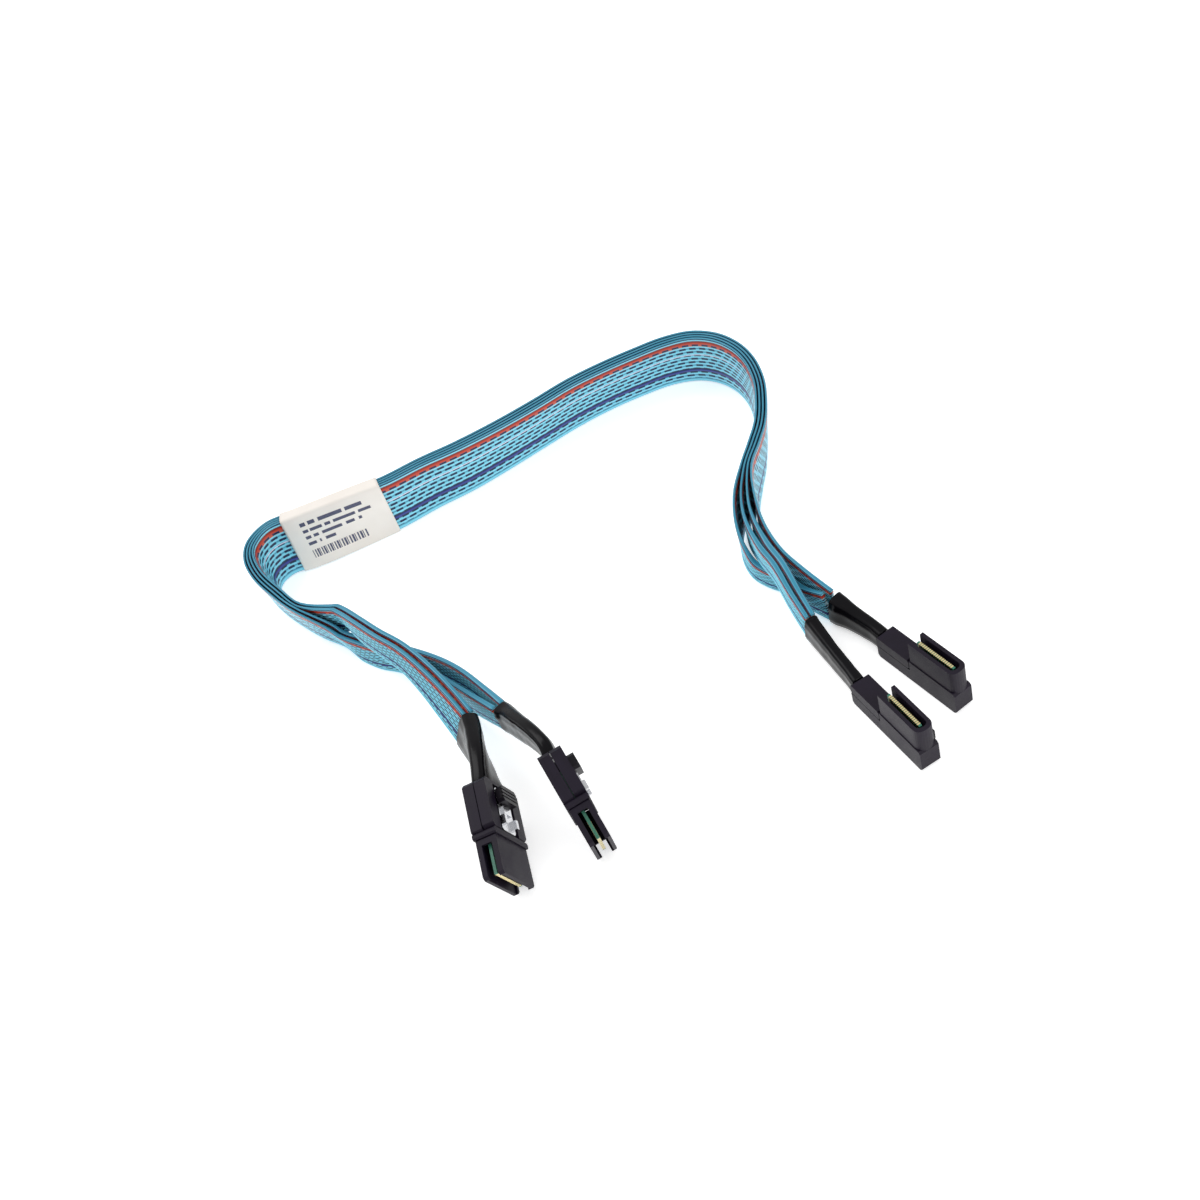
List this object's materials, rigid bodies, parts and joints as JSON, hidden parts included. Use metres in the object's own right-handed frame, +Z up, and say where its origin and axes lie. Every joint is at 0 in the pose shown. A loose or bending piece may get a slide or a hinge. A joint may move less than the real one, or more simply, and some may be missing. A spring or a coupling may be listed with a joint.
{
  "type": "internal mini SAS cable",
  "caption": "Internal mini SAS cable: a stack of flat blue ribbons with straight latch plugs at one end and right-angle plugs at the other.",
  "frame": {"origin": "foot of the middle of the box round the plugs and sleeves, on the table", "axes": "+X to the right along the row of plugs, +Y away towards the loop, +Z up"},
  "size_m": [0.2186, 0.2214, 0.0311],
  "materials": {
    "shell": "moulded black with a slight purple cast",
    "button": "moulded black",
    "sleeve": "glossy black heat shrink",
    "steel": "bright stamped steel",
    "card": "green solder mask with gold contacts",
    "mould": "moulded dark grey",
    "ribbon": "light blue with red and violet marking wires",
    "label": "off-white film"
  },
  "bodies": {
    "cable": {"straight_a_base": "shell", "straight_a_cover": "shell", "straight_a_card": "card", "straight_a_mould": "mould", "straight_a_sleeve": "sleeve", "straight_b_base": "shell", "straight_b_cover": "shell", "straight_b_card": "card", "straight_b_mould": "mould", "straight_b_sleeve": "sleeve", "angle_a_base": "shell", "angle_a_cover": "shell", "angle_a_card": "card", "angle_a_mould": "mould", "angle_a_sleeve": "sleeve", "angle_b_base": "shell", "angle_b_cover": "shell", "angle_b_card": "card", "angle_b_mould": "mould", "angle_b_sleeve": "sleeve", "ribbon_1": "ribbon", "ribbon_2": "ribbon", "ribbon_3": "ribbon", "ribbon_4": "ribbon", "wrap_label": "label"},
    "straight_a_catch": {"straight_a_latch": "steel", "straight_a_button": "button"},
    "straight_b_catch": {"straight_b_latch": "steel", "straight_b_button": "button"},
    "angle_a_catch": {"angle_a_latch": "steel", "angle_a_button": "button"},
    "angle_b_catch": {"angle_b_latch": "steel", "angle_b_button": "button"}
  },
  "joints": [
    {"name": "straight_a_press", "type": "hinge", "parent": "cable", "child": "straight_a_catch", "pos_m": [-0.06922, -0.01474, 0.01485], "axis": [-0.272, -0.2006, 0.9412], "range_deg": [0, 3.5], "stiffness_Nm_per_rad": 0.05},
    {"name": "straight_b_press", "type": "hinge", "parent": "cable", "child": "straight_b_catch", "pos_m": [-0.04293, -0.01331, 0.01576], "axis": [0.0095, -0.38, 0.9249], "range_deg": [0, 3.5], "stiffness_Nm_per_rad": 0.05},
    {"name": "angle_a_press", "type": "hinge", "parent": "cable", "child": "angle_a_catch", "pos_m": [0.07587, -0.00838, 0.0012], "axis": [0.3616, -0.9323, 0], "range_deg": [0, 4], "stiffness_Nm_per_rad": 0.05},
    {"name": "angle_b_press", "type": "hinge", "parent": "cable", "child": "angle_b_catch", "pos_m": [0.05914, -0.02438, 0.0012], "axis": [0.2639, -0.9646, 0], "range_deg": [0, 4], "stiffness_Nm_per_rad": 0.05}
  ]
}
